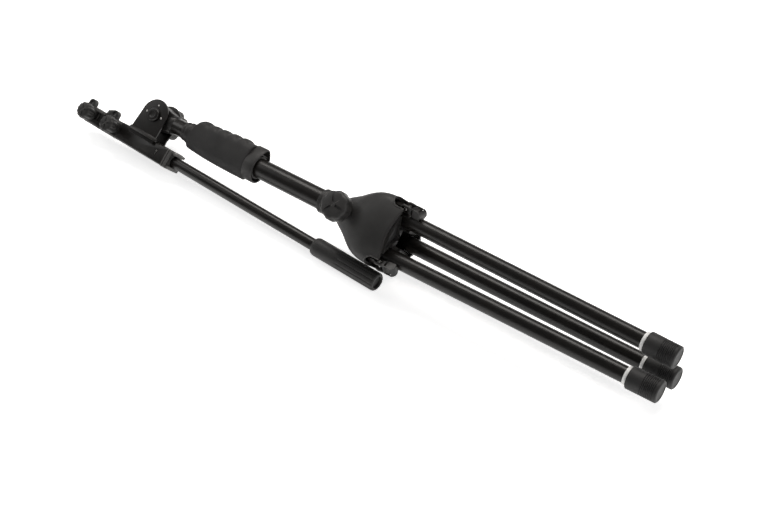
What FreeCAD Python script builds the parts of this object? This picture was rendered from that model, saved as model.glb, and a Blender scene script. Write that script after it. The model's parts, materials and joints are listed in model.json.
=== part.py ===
"""Folded low-profile microphone boom stand, lying on its side.

The stand is drawn in its own frame and then laid down. Along the mast is "x", positive toward the
feet. Across the mast are "v" and "c": the boom hangs on the -v side and the knobs face +c. Every
sub-part is drawn in one of a few frames (stand, leg, boom, knob) whose placements come from the sheet.
"""

import FreeCAD, Part
import math
import os
import Sketcher

from FreeCAD import Placement, Rotation, Vector

SIZES = {
    # How the folded stand lies: where the hub end of the mast axis is, and the roll about it.
    "mast_shift_x": 107.15,
    "mast_shift_y": 8.265,
    "mast_height": 50.05,
    "roll_angle": 42.66,
    # Mast and the tube that slides in it.
    "mast_radius": 12.7,
    "mast_bore": 11.1,
    "mast_bottom": -44.0,
    "mast_top": -362.0,
    "inner_mast_radius": 11.0,
    "inner_mast_bore": 9.5,
    "inner_mast_bottom": -110.0,
    "inner_mast_top": -395.0,
    "stop_ring_radius": 15.0,
    "stop_ring_start": -56.5,
    "stop_ring_end": -49.0,
    # Bell-shaped hub.
    "hub_wall": 3.0,
    "hub_rim": -24.0,
    "hub_neck": -143.0,
    "hub_bore": 12.76,
    "notch_width": 20.0,
    "notch_centre": -33.5,
    "notch_inner": 18.0,
    "core_front": -22.5,
    "core_plate_front": -42.0,
    "core_back": -48.0,
    "core_lobe_centre": 33.0,
    "core_corner": 9.6,
    "core_face": 32.0,
    "hub_collar_radius": 15.2,
    "hub_collar_length": 30.0,
    "hub_ring_radius": 15.2,
    "hub_ring_length": 5.0,
    "hub_knob_place": -102.0,
    "hub_boss_radius": 9.5,
    "hub_boss_top": 28.6,
    # Legs.
    "leg_angle_first": 31.2,
    "leg_radius": 9.5,
    "leg_wall": 1.4,
    "leg_axis": 26.3,
    "leg_toe_in": 0.65,
    "leg_start": -31.5,
    "leg_ring_start": 287.0,
    "leg_ring_radius": 10.9,
    "foot_start": 291.0,
    "foot_end": 327.0,
    "foot_radius": 13.0,
    "foot_rib_depth": 0.9,
    "foot_rib_pitch": 1.9,
    "pivot_place": -24.5,
    "pivot_radial": 42.0,
    "pivot_radius": 2.0,
    "pivot_bore": 2.05,
    "bracket_width": 14.0,
    "bracket_back": -31.5,
    "bracket_front": -3.0,
    "bracket_top": 47.0,
    "bracket_bottom": 32.0,
    "bracket_web": -17.5,
    "bracket_gap": 8.8,
    "lug_width": 8.2,
    "lug_front": -21.6,
    "lug_back": -43.0,
    "lug_top": 42.4,
    "lug_bottom": 37.4,
    # One-hand clutch on the mast.
    "sleeve_radius": 14.6,
    "sleeve_bore": 12.72,
    "sleeve_left": -362.0,
    "sleeve_right": -246.0,
    "collar_left": -261.5,
    "collar_half_width": 16.0,
    "collar_top": 25.4,
    "collar_wall": 1.8,
    "grip_left": -360.5,
    "grip_right": -262.0,
    "grip_bottom": -21.0,
    "grip_half_width": 15.3,
    "grip_seam": 3.0,
    "lever_left": -359.0,
    "lever_right": -263.0,
    "lever_half_width": 12.5,
    "lever_seat": 15.2,
    "lever_plate": 2.2,
    "lever_lift": 4.4,
    "lever_pivot": -352.0,
    "lever_pivot_height": 17.4,
    "lever_pin_radius": 1.5,
    "lever_pin_bore": 1.55,
    "lever_pin_half_length": 8.0,
    "lever_cheek": 3.0,
    "lever_cheek_gap": 4.0,
    "lever_cheek_reach": 4.0,
    "lever_cheek_base": 8.0,
    "lever_cheek_rise": 2.2,
    "ridge_first": -354.0,
    "ridge_second": -327.0,
    "ridge_pitch": 16.0,
    "ridge_base": 23.2,
    "ridge_rise": 0.95,
    "ridge_depth": 1.8,
    "bush_radius": 12.4,
    "bush_bore": 11.05,
    "bush_left": -374.0,
    "bush_right": -362.3,
    "top_ring_radius": 13.6,
    "top_ring_bore": 12.5,
    "top_ring_left": -367.5,
    # Tilting head.
    "tilt_place": -421.0,
    "head_radius": 17.0,
    "head_half_width": 10.0,
    "head_shoulder": -396.0,
    "head_neck_radius": 12.2,
    "tilt_bolt_radius": 4.0,
    "tilt_bolt_bore": 4.06,
    "tilt_head_radius": 9.0,
    "tilt_head_top": 19.6,
    "tilt_knob_radius": 20.0,
    "tilt_knob_inner": -17.5,
    "tilt_knob_outer": -37.0,
    "ear_inner": 13.2,
    "ear_thickness": 2.6,
    "ear_radius": 21.0,
    "ear_foot_bottom": 5.0,
    "rivet_radius": 2.0,
    "rivet_circle": 13.0,
    # Boom: block, rods, clamps and counterweight, measured along the boom axis from below the tilt bolt.
    "boom_offset": 40.4,
    "boom_slope": 2.37,
    "block_left": -42.0,
    "block_right": 44.7,
    "block_top": 11.7,
    "block_bottom": -12.0,
    "block_half_width": 13.0,
    "block_wall": 2.2,
    "rod_bore": 7.56,
    "rod_radius": 7.5,
    "rod_wall": 1.1,
    "rod_left": -90.0,
    "rod_right": 390.0,
    "end_cap_right": 52.7,
    "end_cap_lip": 60.0,
    "end_cap_lip_inner": 7.9,
    "end_cap_lip_half_width": 9.0,
    "weight_left": 298.0,
    "weight_right": 396.0,
    "weight_radius": 11.6,
    "weight_plain": 40.0,
    "inner_rod_radius": 6.3,
    "inner_rod_bore": 5.0,
    "inner_rod_right": 190.0,
    "inner_rod_left": -107.3,
    "thread_radius": 7.94,
    "thread_left": -118.5,
    "clamp_b_left": -74.3,
    "clamp_b_knob": -52.3,
    "clamp_b_lug": -62.0,
    "clamp_b_lug_top": 20.5,
    "clamp_a_left": -107.0,
    "clamp_a_right": -75.3,
    "clamp_a_knob": -97.3,
    "clamp_a_lug": -105.5,
    "clamp_a_lug_top": 18.8,
    "clamp_top": 10.6,
    "clamp_bottom": -12.4,
    "clamp_half_width": 12.0,
    "pocket_left": -89.0,
    "pocket_right": -80.0,
    "pocket_bottom": -4.5,
    "pocket_top": 6.5,
    "pocket_depth": 2.5,
    "clamp_boss_radius": 8.0,
    "clamp_boss_top": 17.5,
    "clamp_knob_radius": 11.4,
    "clamp_knob_top": 30.5,
    "lug_half_width": 4.0,
    "lug_side": 8.0,
    "lug_half_length": 5.0,
    "lug_b_heel": 7.0,
    "lug_hole": 2.6,
    "stud_radius": 3.0,
    "stud_bore": 3.05,
    # Hub clamp knob, measured out from the mast axis.
    "hub_knob_radius": 18.5,
    "hub_knob_bottom": 29.2,
    "hub_knob_top": 45.5,
    "stud_gap": 0.2,
}

# Farther out than any piece, for tools that must cut right through.
BEYOND = 60.0
HOLLOW_START = -100.0
LEG_COUNT = 3
LEG_STEP = 120.0
RIB_COUNT = 8
RIDGE_COUNT = 4
FULL_TURN = 360.0
# Outside of the bell: place along the mast, lobe centre, lobe corner radius, radius between lobes.
BELL_SECTIONS = (
    (-118.0, 0.5, 14.6, 14.9),
    (-104.0, 7.0, 13.9, 18.8),
    (-92.0, 14.5, 13.5, 24.3),
    (-76.0, 25.5, 13.4, 31.0),
    (-64.0, 31.4, 13.2, 34.1),
    (-51.0, 34.2, 13.2, 35.5),
    (-36.0, 34.6, 13.0, 35.5),
    (-24.0, 34.6, 12.9, 35.5),
)


class Size:
    """A length from the sheet, carried with the expression that gives it."""

    def __init__(self, value, text):
        self.value = value
        self.text = text

    def __add__(self, other):
        other = as_size(other)
        return Size(self.value + other.value, f"({self.text} + {other.text})")

    def __sub__(self, other):
        other = as_size(other)
        return Size(self.value - other.value, f"({self.text} - {other.text})")

    def __mul__(self, number):
        return Size(self.value * number, f"({self.text} * {number})")

    def __neg__(self):
        return self * -1


def as_size(number):
    return number if isinstance(number, Size) else Size(number, f"{number}")


def size(alias):
    return Size(SIZES[alias], f"Sizes.{alias}")


doc = FreeCAD.newDocument("BoomStand")
sheet = doc.addObject("Spreadsheet::Sheet", "Sizes")
for row, (alias, value) in enumerate(SIZES.items(), start=1):
    sheet.set(f"A{row}", str(value))
    sheet.setAlias(f"A{row}", alias)
doc.recompute()

parts = []

# Frames ---------------------------------------------------------------------------------------

ALONG = Rotation()
TO_C = Rotation(Vector(0, 1, 0), -90)
TO_MINUS_C = Rotation(Vector(0, 1, 0), 90)


def shifted(frame, x=0.0, v=0.0, c=0.0, turn=ALONG):
    return frame.multiply(Placement(Vector(x, v, c), turn))


STAND = Placement(Vector(sheet.mast_shift_x, sheet.mast_shift_y, sheet.mast_height),
                  Rotation(Vector(1, 0, 0), sheet.roll_angle))
TILT = shifted(STAND, x=sheet.tilt_place)
BOOM = shifted(shifted(TILT, turn=Rotation(Vector(0, 0, 1), -sheet.boom_slope)), v=-sheet.boom_offset)


def leg_frame(number):
    angle = sheet.leg_angle_first + LEG_STEP * (number - 1)
    return shifted(STAND, turn=Rotation(Vector(1, 0, 0), angle))


def leg_tube_frame(number):
    toe_in = Rotation(Vector(0, 0, 1), -sheet.leg_toe_in)
    return shifted(leg_frame(number), v=sheet.leg_axis, turn=toe_in)


# Building blocks ------------------------------------------------------------------------------


def keep(thing, label, frame):
    """Name a finished sub-part and lay it in place."""
    thing.Label = label
    thing.Placement = frame
    parts.append(thing)
    return thing


def bind(thing, **lengths):
    for name, length in lengths.items():
        thing.setExpression(name.replace("__", "."), as_size(length).text)


def origin_plane(body, role):
    return next(plane for plane in body.Origin.OriginFeatures if plane.Role == role)


def outline_sketch(body, points, role="XY_Plane"):
    """A closed outline with straight sides, each corner held to the sheet."""
    sketch = body.newObject("Sketcher::SketchObject", "Outline")
    sketch.AttachmentSupport = [(origin_plane(body, role), "")]
    sketch.MapMode = "FlatFace"
    corners = [(as_size(across), as_size(up)) for across, up in points]
    spots = [Vector(across.value, up.value, 0) for across, up in corners]
    for number, spot in enumerate(spots):
        sketch.addGeometry(Part.LineSegment(spot, spots[(number + 1) % len(spots)]), False)
    for number, (across, up) in enumerate(corners):
        following = (number + 1) % len(corners)
        sketch.addConstraint(Sketcher.Constraint("Coincident", number, 2, following, 1))
        for kind, axis, length in (("DistanceX", -2, across), ("DistanceY", -1, up)):
            if length.value == 0:
                sketch.addConstraint(Sketcher.Constraint("PointOnObject", number, 1, axis))
                continue
            held = sketch.addConstraint(Sketcher.Constraint(kind, -1, 1, number, 1, length.value))
            sketch.setExpression(f"Constraints[{held}]", length.text)
    return sketch


def turned(label, frame, points):
    """A piece turned on a lathe: its half outline, spun about the frame's first axis."""
    body = doc.addObject("PartDesign::Body", f"{label}_body")
    sketch = outline_sketch(body, points)
    turn = body.newObject("PartDesign::Revolution", "Turn")
    turn.Profile = sketch
    turn.ReferenceAxis = (sketch, ["H_Axis"])
    turn.Angle = FULL_TURN
    return keep(body, label, frame)


def ring(label, frame, left, right, outer, inner):
    return turned(label, frame, [(left, inner), (right, inner), (right, outer), (left, outer)])


def rod(label, frame, left, right, radius):
    return turned(label, frame, [(left, 0), (right, 0), (right, radius), (left, radius)])


def padded(label, frame, points, width):
    """A flat outline in the x-v plane, thickened equally to both sides."""
    body = doc.addObject("PartDesign::Body", f"{label}_body")
    sketch = outline_sketch(body, points)
    pad = body.newObject("PartDesign::Pad", "Thickness")
    pad.Profile = sketch
    pad.Midplane = True
    bind(pad, Length=width)
    return keep(body, label, frame)


def cylinder(radius, length, x=0, v=0, c=0, turn=Rotation(Vector(0, 1, 0), 90)):
    """A cylinder starting at (x, v, c); unless turned it points along +x."""
    thing = doc.addObject("Part::Cylinder", "Round")
    thing.Placement = Placement(Vector(0, 0, 0), turn)
    bind(thing, Radius=radius, Height=length, Placement__Base__x=x, Placement__Base__y=v,
         Placement__Base__z=c)
    return thing


POINT_C = Rotation()
POINT_V = Rotation(Vector(1, 0, 0), -90)


def box(x_range, v_range, c_range):
    thing = doc.addObject("Part::Box", "Block")
    bind(thing, Length=as_size(x_range[1]) - x_range[0], Width=as_size(v_range[1]) - v_range[0],
         Height=as_size(c_range[1]) - c_range[0], Placement__Base__x=x_range[0],
         Placement__Base__y=v_range[0], Placement__Base__z=c_range[0])
    return thing


def joined(things):
    if len(things) == 1:
        return things[0]
    union = doc.addObject("Part::MultiFuse", "Joined")
    union.Shapes = things
    union.Refine = True
    return union


def without(thing, tools):
    cut = doc.addObject("Part::Cut", "Without")
    cut.Base = thing
    cut.Tool = joined(tools)
    cut.Refine = True
    return cut


def within(thing, limit):
    common = doc.addObject("Part::Common", "Within")
    common.Base = thing
    common.Tool = limit
    return common


def fluted(radius, flute_radius, count, left, right, reach=0.55):
    """A round grip along x with a ring of half-round flutes cut into its edge."""
    blank = cylinder(radius, right - left, x=left)
    flutes = []
    for number in range(count):
        angle = math.radians(FULL_TURN * number / count)
        distance = radius + flute_radius * reach
        flutes.append(cylinder(flute_radius, right - left, x=left, v=distance * math.cos(angle),
                               c=distance * math.sin(angle)))
    return without(blank, flutes)


# Lobed section of the hub ---------------------------------------------------------------------


def lobed_wire(place, lobe_centre, corner_radius, face_radius):
    """A rounded triangle with bulging sides, its corners toward the three legs."""
    flat = face_radius - corner_radius
    behind = (lobe_centre ** 2 - flat ** 2) / (2 * flat - lobe_centre)
    lean = math.degrees(math.atan2(lobe_centre * math.sin(math.radians(60)),
                                   lobe_centre * math.cos(math.radians(60)) + behind))
    corner_span = 60 - lean

    def spot(angle, radius, centre_angle=0.0, centre_radius=0.0):
        turn = math.radians(angle)
        base = math.radians(centre_angle)
        return Vector(place, radius * math.cos(turn) + centre_radius * math.cos(base),
                      radius * math.sin(turn) + centre_radius * math.sin(base))

    edges = []
    for number in range(LEG_COUNT):
        lobe = SIZES["leg_angle_first"] + LEG_STEP * number
        start, middle, end = (spot(lobe + span, corner_radius, lobe, lobe_centre)
                              for span in (-corner_span, 0, corner_span))
        edges.append(Part.Arc(start, middle, end).toShape())
        following = spot(lobe + LEG_STEP - corner_span, corner_radius, lobe + LEG_STEP, lobe_centre)
        face = spot(lobe + LEG_STEP / 2, face_radius)
        edges.append(Part.Arc(end, face, following).toShape())
    return Part.Wire(edges)


def shape_feature(name, shape):
    feature = doc.addObject("Part::Feature", name)
    feature.Shape = shape
    return feature


def bell(inset):
    """The bell's flare as a solid, drawn in from its outside by inset."""
    wires = []
    for place, lobe_centre, corner_radius, face_radius in BELL_SECTIONS:
        wires.append(lobed_wire(place, lobe_centre, corner_radius - inset, face_radius - inset))
    return shape_feature("Flare", Part.makeLoft(wires, True, False))


def core_prism():
    wire = lobed_wire(SIZES["core_back"], SIZES["core_lobe_centre"], SIZES["core_corner"],
                      SIZES["core_face"])
    depth = SIZES["core_front"] - SIZES["core_back"]
    return shape_feature("CorePrism", Part.Face(wire).extrude(Vector(depth, 0, 0)))


def toward_each_leg(make):
    """Three copies of a piece drawn along +v, each turned about the mast to face one leg."""
    copies = []
    for number in range(LEG_COUNT):
        copy = make()
        turn = Rotation(Vector(1, 0, 0), SIZES["leg_angle_first"] + LEG_STEP * number)
        copy.Placement = Placement(Vector(0, 0, 0), turn)
        copies.append(copy)
    return copies


def slot_toward_leg(x_range, r_range, width, round_end=False):
    """A slot that runs outward from the mast, with a half-round back end if asked for."""
    half = width * 0.5
    middle = (r_range[0] + r_range[1]) * 0.5
    blocks = [box(x_range, r_range, (half * -1, half)),
              box((x_range[0], x_range[1]), (middle, r_range[1]), (half * -1, half))]
    if round_end:
        blocks.append(cylinder(half, r_range[1] - r_range[0], x=x_range[0], v=r_range[0],
                               turn=POINT_V))
    slot = doc.addObject("Part::MultiFuse", "Slot")
    slot.Shapes = blocks
    return slot


# Hub ------------------------------------------------------------------------------------------


def pivot_lug():
    """The tongue that carries one leg's pivot pin."""
    half = size("lug_width") * 0.5
    tongue = box((size("lug_back"), size("lug_front")), (size("lug_bottom"), size("lug_top")),
                 (half * -1, half))
    pin_hole = cylinder(size("pivot_radius"), size("lug_width"), x=size("pivot_place"),
                        v=size("pivot_radial"), c=half * -1, turn=POINT_C)
    return without(tongue, [pin_hole])


def build_hub():
    wall = size("hub_wall")
    rim = size("hub_rim")
    neck = size("hub_neck")
    place = size("hub_knob_place")
    notch = size("notch_width")
    collar = cylinder(size("hub_collar_radius"), size("hub_collar_length"),
                      x=neck + size("hub_ring_length"))
    boss = cylinder(size("hub_boss_radius"), size("hub_boss_top"), x=place, turn=POINT_C)
    outside = joined([bell(0.0), collar, boss])
    notches = toward_each_leg(lambda: slot_toward_leg(
        (size("notch_centre"), rim + wall), (size("notch_inner"), as_size(BEYOND)), notch, True))
    hollow_limit = box((HOLLOW_START, rim + wall), (-BEYOND, BEYOND), (-BEYOND, BEYOND))
    hollow = within(bell(SIZES["hub_wall"]), hollow_limit)
    bore = cylinder(size("hub_bore"), rim - neck, x=neck)
    stud_bore = cylinder(size("stud_bore"), BEYOND, x=place, turn=POINT_C)
    keep(without(outside, [hollow, bore, stud_bore, *notches]), "hub_shell", STAND)

    slots = toward_each_leg(lambda: slot_toward_leg(
        (size("core_plate_front"), size("core_front") + 1.0), (as_size(0.0), as_size(BEYOND)), notch))
    mast_hole = cylinder(size("hub_bore"), size("core_front") - size("core_back") + 2.0,
                         x=size("core_back") - 1.0)
    plate_and_sectors = without(core_prism(), slots)
    lugs = toward_each_leg(pivot_lug)
    keep(without(joined([plate_and_sectors, *lugs]), [mast_hole]), "hub_core", STAND)

    ring("hub_end_ring", STAND, neck, neck + size("hub_ring_length"), size("hub_ring_radius"),
         size("hub_bore"))
    for number in range(1, LEG_COUNT + 1):
        half = size("bracket_width") * 0.5
        pin_frame = shifted(leg_frame(number), x=sheet.pivot_place, v=sheet.pivot_radial, turn=TO_C)
        rod(f"leg_{number}_pin", pin_frame, half * -1, half, size("pivot_radius"))


def build_hub_knob():
    frame = shifted(STAND, x=sheet.hub_knob_place, turn=TO_C)
    bottom = size("hub_knob_bottom")
    top = size("hub_knob_top")
    keep(without(fluted(SIZES["hub_knob_radius"], 3.2, 8, SIZES["hub_knob_bottom"],
                        SIZES["hub_knob_top"]),
                 [cylinder(size("stud_radius"), top - bottom - 4.0, x=bottom)]),
         "hub_knob_cap", frame)
    rod("hub_knob_stud", frame, size("mast_radius") + size("stud_gap"), top - 4.0,
        size("stud_radius"))


# Mast -----------------------------------------------------------------------------------------


def egg_block(left, right, half_width, bottom, top):
    """A block with a round underside and a flat-topped upper part."""
    low = cylinder(half_width, right - left, x=left, v=bottom + half_width)
    high = box((left, right), (bottom + half_width, top), (-half_width, half_width))
    return joined([low, high])


def build_mast():
    ring("mast_tube", STAND, size("mast_top"), size("mast_bottom"), size("mast_radius"),
         size("mast_bore"))
    ring("mast_stop_ring", STAND, size("stop_ring_start"), size("stop_ring_end"),
         size("stop_ring_radius"), size("mast_radius"))

    left = size("sleeve_left")
    right = size("sleeve_right")
    sleeve = cylinder(size("sleeve_radius"), right - left, x=left)
    collar_left = size("collar_left")
    collar = egg_block(collar_left, right, size("collar_half_width"), size("collar_half_width") * -1,
                       size("collar_top"))
    wall = size("collar_wall")
    room = box((collar_left, right - wall), (size("sleeve_radius") + 0.4, size("collar_top") - wall),
               (size("collar_half_width") * -1 + wall, size("collar_half_width") - wall))
    gap = size("lever_cheek_gap") * 0.5
    cheek = size("lever_cheek")
    reach = size("lever_cheek_reach")
    cheeks = [box((size("lever_pivot") - reach, size("lever_pivot") + reach),
                  (size("lever_cheek_base"), size("lever_pivot_height") + size("lever_cheek_rise")), span)
              for span in ((gap * -1 - cheek, gap * -1), (gap, gap + cheek))]
    pin_hole = cylinder(size("lever_pin_radius"), 30.0, x=size("lever_pivot"),
                        v=size("lever_pivot_height"), c=-15.0, turn=POINT_C)
    bore = cylinder(size("sleeve_bore"), right - left + 2.0, x=left - 1.0)
    keep(without(joined([sleeve, collar, *cheeks]), [room, bore, pin_hole]), "clutch_housing", STAND)

    rod("lever_pin", shifted(STAND, x=sheet.lever_pivot, v=sheet.lever_pivot_height, turn=TO_C),
        size("lever_pin_half_length") * -1, size("lever_pin_half_length"), size("lever_pin_radius"))

    pad_left = size("grip_left")
    pad_right = size("grip_right")
    palm = cylinder(size("grip_bottom") * -1, pad_right - pad_left, x=pad_left)
    sides = box((pad_left, pad_right), (size("grip_bottom") - 1.0, size("grip_seam")),
                (size("grip_half_width") * -1, size("grip_half_width")))
    palm_bore = cylinder(size("sleeve_radius"), pad_right - pad_left + 2.0, x=pad_left - 1.0)
    keep(without(within(palm, sides), [palm_bore]), "palm_grip", STAND)

    ring("clutch_top_ring", STAND, size("top_ring_left"), size("sleeve_left"),
         size("top_ring_radius"), size("top_ring_bore"))
    ring("clutch_bush", STAND, size("bush_left"), size("bush_right"), size("bush_radius"),
         size("bush_bore"))


def build_lever():
    """The squeezed half of the grip: a plate hinged at its left end under a ridged rubber pad."""
    left = size("lever_left")
    right = size("lever_right")
    seat = size("lever_seat")
    lift = size("lever_lift")
    thick = size("lever_plate")
    half = size("lever_half_width")
    gap_left = size("lever_pivot") - 4.6
    gap_right = size("lever_pivot") + 4.6
    plate_body = padded("lever_plate_blank", STAND, [
        (left, seat), (left + 20.0, seat), (right, seat + lift * 0.85),
        (right, seat + lift * 0.85 + thick), (left, seat + thick)], half * 2)
    parts.remove(plate_body)
    plate_body.Placement = Placement()
    knuckle = box((size("lever_pivot") - 2.6, size("lever_pivot") + 2.6),
                  (seat, size("lever_pivot_height") + 2.2), (-1.9, 1.9))
    windows = [box((gap_left, gap_right), (seat - 1.0, seat + thick + 1.0), span)
               for span in ((-5.3, -1.9), (1.9, 5.3))]
    pin_bore = cylinder(size("lever_pin_bore"), 30.0, x=size("lever_pivot"),
                        v=size("lever_pivot_height"), c=-15.0, turn=POINT_C)
    keep(without(joined([plate_body, knuckle]), [*windows, pin_bore]), "lever_plate", STAND)

    base = size("ridge_base")
    depth = size("ridge_depth")
    outline = [(left - 1.0, seat + thick), (left - 1.0, seat + thick + 1.5),
               (size("ridge_first"), base - 2.0), (size("ridge_first") + 19.0, base - 3.2)]
    for number in range(RIDGE_COUNT):
        peak = size("ridge_second") + size("ridge_pitch") * number
        height = base + size("ridge_rise") * number
        outline.append((peak - 3.0, height))
        outline.append((peak + 3.0, height))
        outline.append((peak + 7.0, height - depth + 0.5))
        outline.append((peak + 9.0, height - depth + 0.5))
    outline += [(right, base + 2.2), (right, seat + lift * 0.85 + thick)]
    pad = padded("lever_grip_blank", STAND, outline, half * 2 + 2.0)
    parts.remove(pad)
    pad.Placement = Placement()
    pin_room = box((size("lever_pivot") - 5.5, size("lever_pivot") + 5.5), (seat, base - 3.2),
                   (-9.0, 9.0))
    keep(without(pad, [pin_room]), "lever_grip", STAND)


def build_inner_mast():
    ring("inner_mast_tube", STAND, size("inner_mast_top"), size("inner_mast_bottom"),
         size("inner_mast_radius"), size("inner_mast_bore"))
    pivot = size("tilt_place")
    half = size("head_half_width")
    disc = cylinder(size("head_radius"), half * 2, x=pivot, c=half * -1, turn=POINT_C)
    shoulder = size("head_shoulder")
    cone = doc.addObject("Part::Cone", "Socket")
    cone.Placement = Placement(Vector(0, 0, 0), Rotation(Vector(0, 1, 0), 90))
    bind(cone, Radius1=size("head_radius") - 0.6, Radius2=size("head_neck_radius"),
         Height=shoulder - pivot, Placement__Base__x=pivot)
    cheek_limit = box((pivot, shoulder), (-20.0, 20.0), (half * -1, half))
    socket = within(cone, cheek_limit)
    plug = cylinder(size("inner_mast_bore"), 30.0, x=shoulder - 1.0)
    seat_ring = cylinder(size("head_neck_radius"), 4.0, x=shoulder - 3.0)
    fin = box((shoulder - 3.0, shoulder + 1.0), (11.0, 15.0), (-1.0, 1.0))
    bore = cylinder(size("tilt_bolt_bore"), 40.0, x=pivot, c=-20.0, turn=POINT_C)
    keep(without(joined([disc, socket, plug, seat_ring, fin]), [bore]), "mast_head", STAND)


# Boom -----------------------------------------------------------------------------------------


def build_ear(label, side):
    """One upright plate of the block, round about the tilt bolt."""
    inner = size("ear_inner")
    low, high = (inner, inner + size("ear_thickness"))
    if side < 0:
        low, high = (high * -1, low * -1)
    offset = size("boom_offset")
    top = cylinder(size("ear_radius"), size("ear_thickness"), v=offset, c=low, turn=POINT_C)
    foot = box((size("ear_radius") * -1, size("ear_radius") * 0.9),
               (size("ear_foot_bottom"), offset), (low, high))
    hole = cylinder(size("tilt_bolt_radius"), 60.0, v=offset, c=-30.0, turn=POINT_C)
    rivet_holes = [cylinder(size("rivet_radius"), 60.0, x=x, v=offset + v, c=-30.0, turn=POINT_C)
                   for x, v in rivet_places()]
    keep(without(joined([top, foot]), [hole, *rivet_holes]), label, BOOM)


def rivet_places():
    """Rivets left, above and right of the tilt bolt."""
    distance = SIZES["rivet_circle"]
    return [(-distance, 0.0), (0.0, distance), (distance, 0.0)]


def build_clamp(label, left, right, knob_place, lug_place, lug_top, rod_radius, heel=0.0, pocket=None):
    """A cast collar on the boom with a clamp-screw boss and a small lug with a hole."""
    half = size("clamp_half_width")
    body = box((left, right), (size("clamp_bottom"), size("clamp_top")), (half * -1, half))
    lug_low = size("lug_side") - size("lug_half_width")
    lug_high = size("lug_side") + size("lug_half_width")
    reach = size("lug_half_length")
    lug = box((lug_place - reach - heel, lug_place + reach), (size("clamp_top"), lug_top),
              (lug_low, lug_high))
    boss = cylinder(size("clamp_boss_radius"), size("clamp_boss_top"), x=knob_place, turn=POINT_C)
    cuts = [
        cylinder(rod_radius, 80.0, x=left - 1.0),
        cylinder(size("lug_hole"), 20.0, x=lug_place, v=lug_top - reach, c=-5.0, turn=POINT_C),
        cylinder(size("stud_bore"), 40.0, x=knob_place, turn=POINT_C),
    ]
    if pocket:
        cuts.append(pocket)
    keep(without(joined([body, lug, boss]), cuts), label, BOOM)


def build_clamp_knob(label, place, inner_radius):
    frame = shifted(BOOM, x=place, turn=TO_C)
    bottom = SIZES["clamp_boss_top"] + 0.6
    top = SIZES["clamp_knob_top"]
    keep(without(fluted(SIZES["clamp_knob_radius"], 1.5, 10, bottom, top),
                 [cylinder(size("stud_radius"), top - bottom - 3.0, x=bottom)]),
         f"{label}_cap", frame)
    rod(f"{label}_stud", frame, inner_radius + size("stud_gap"), size("clamp_knob_top") - 3.0,
        size("stud_radius"))


def build_boom_block():
    left = size("block_left")
    right = size("block_right")
    half = size("block_half_width")
    wall = size("block_wall")
    outside = box((left, right), (size("block_bottom"), size("block_top")), (half * -1, half))
    inside = box((left + 12.0, right - 12.0), (size("block_bottom") + wall, size("block_top") - wall),
                 (half * -1 + wall, half - wall))
    bore = cylinder(size("rod_bore"), right - left + 2.0, x=left - 1.0)
    slot = box((right - 16.0, right - 13.0), (-5.0, 5.0), (half - 1.0, half + 1.0))
    keep(without(outside, [inside, bore, slot]), "boom_block_box", BOOM)
    build_ear("ear_near", 1)
    build_ear("ear_far", -1)

    bolt_frame = shifted(BOOM, v=sheet.boom_offset, turn=TO_C)
    near = size("ear_inner") + size("ear_thickness")
    turned("tilt_bolt", bolt_frame, [
        (size("tilt_knob_outer") + 4.0, 0), (size("tilt_head_top"), 0),
        (size("tilt_head_top"), size("tilt_head_radius") - 1.2),
        (size("tilt_head_top") - 1.2, size("tilt_head_radius")),
        (near, size("tilt_head_radius")), (near, size("tilt_bolt_radius")),
        (size("tilt_knob_outer") + 4.0, size("tilt_bolt_radius"))])
    for number, (x, v) in enumerate(rivet_places(), start=1):
        frame = shifted(BOOM, x=x, v=sheet.boom_offset + v, turn=TO_C)
        turned(f"ear_rivet_{number}", frame, [
            (size("ear_inner"), 0), (near + 1.2, 0), (near + 1.2, size("rivet_radius")),
            (size("ear_inner"), size("rivet_radius"))])

    cap_right = size("end_cap_right")
    lip = size("end_cap_lip")
    cap = box((right, cap_right), (size("block_bottom"), size("block_top")), (half * -1, half))
    inner = size("end_cap_lip_inner")
    lip_half = size("end_cap_lip_half_width")
    lips = [box((cap_right, lip), span, (lip_half * -1, lip_half))
            for span in ((inner, size("block_top")), (size("block_bottom"), inner * -1))]
    cap_bore = cylinder(size("rod_bore"), 40.0, x=right - 1.0)
    keep(without(joined([cap, *lips]), [cap_bore]), "block_end_cap", BOOM)
    build_clamp("rod_clamp_body", size("clamp_b_left"), left, size("clamp_b_knob"),
                size("clamp_b_lug"), size("clamp_b_lug_top"), size("rod_bore"),
                heel=size("lug_b_heel"))


def build_tilt_knob():
    frame = shifted(BOOM, v=sheet.boom_offset, turn=TO_MINUS_C)
    inner = -SIZES["tilt_knob_inner"]
    outer = -SIZES["tilt_knob_outer"]
    keep(without(fluted(SIZES["tilt_knob_radius"], 5.5, 7, inner, outer),
                 [cylinder(size("tilt_bolt_bore"), outer - inner - 3.0, x=inner)]),
         "tilt_knob", frame)


def build_boom_rod():
    ring("boom_rod_tube", BOOM, size("rod_left"), size("rod_right"), size("rod_radius"),
         size("rod_radius") - size("rod_wall"))
    left = size("weight_left")
    plain_right = left + size("weight_plain")
    plain = cylinder(size("weight_radius") - 0.4, size("weight_plain"), x=left)
    grooved = fluted(SIZES["weight_radius"], 1.6, 12,
                     SIZES["weight_left"] + SIZES["weight_plain"], SIZES["weight_right"])
    rod_hole = cylinder(size("rod_radius"), size("rod_right") - left + 1.0, x=left - 1.0)
    keep(without(joined([plain, grooved]), [rod_hole]), "counterweight", BOOM)

    half = size("clamp_half_width")
    pocket = box((size("pocket_left"), size("pocket_right")),
                 (size("pocket_bottom"), size("pocket_top")), (half - size("pocket_depth"), half + 1.0))
    build_clamp("tip_clamp_body", size("clamp_a_left"), size("clamp_a_right"),
                size("clamp_a_knob"), size("clamp_a_lug"), size("clamp_a_lug_top"),
                size("rod_radius"), pocket=pocket)


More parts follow.
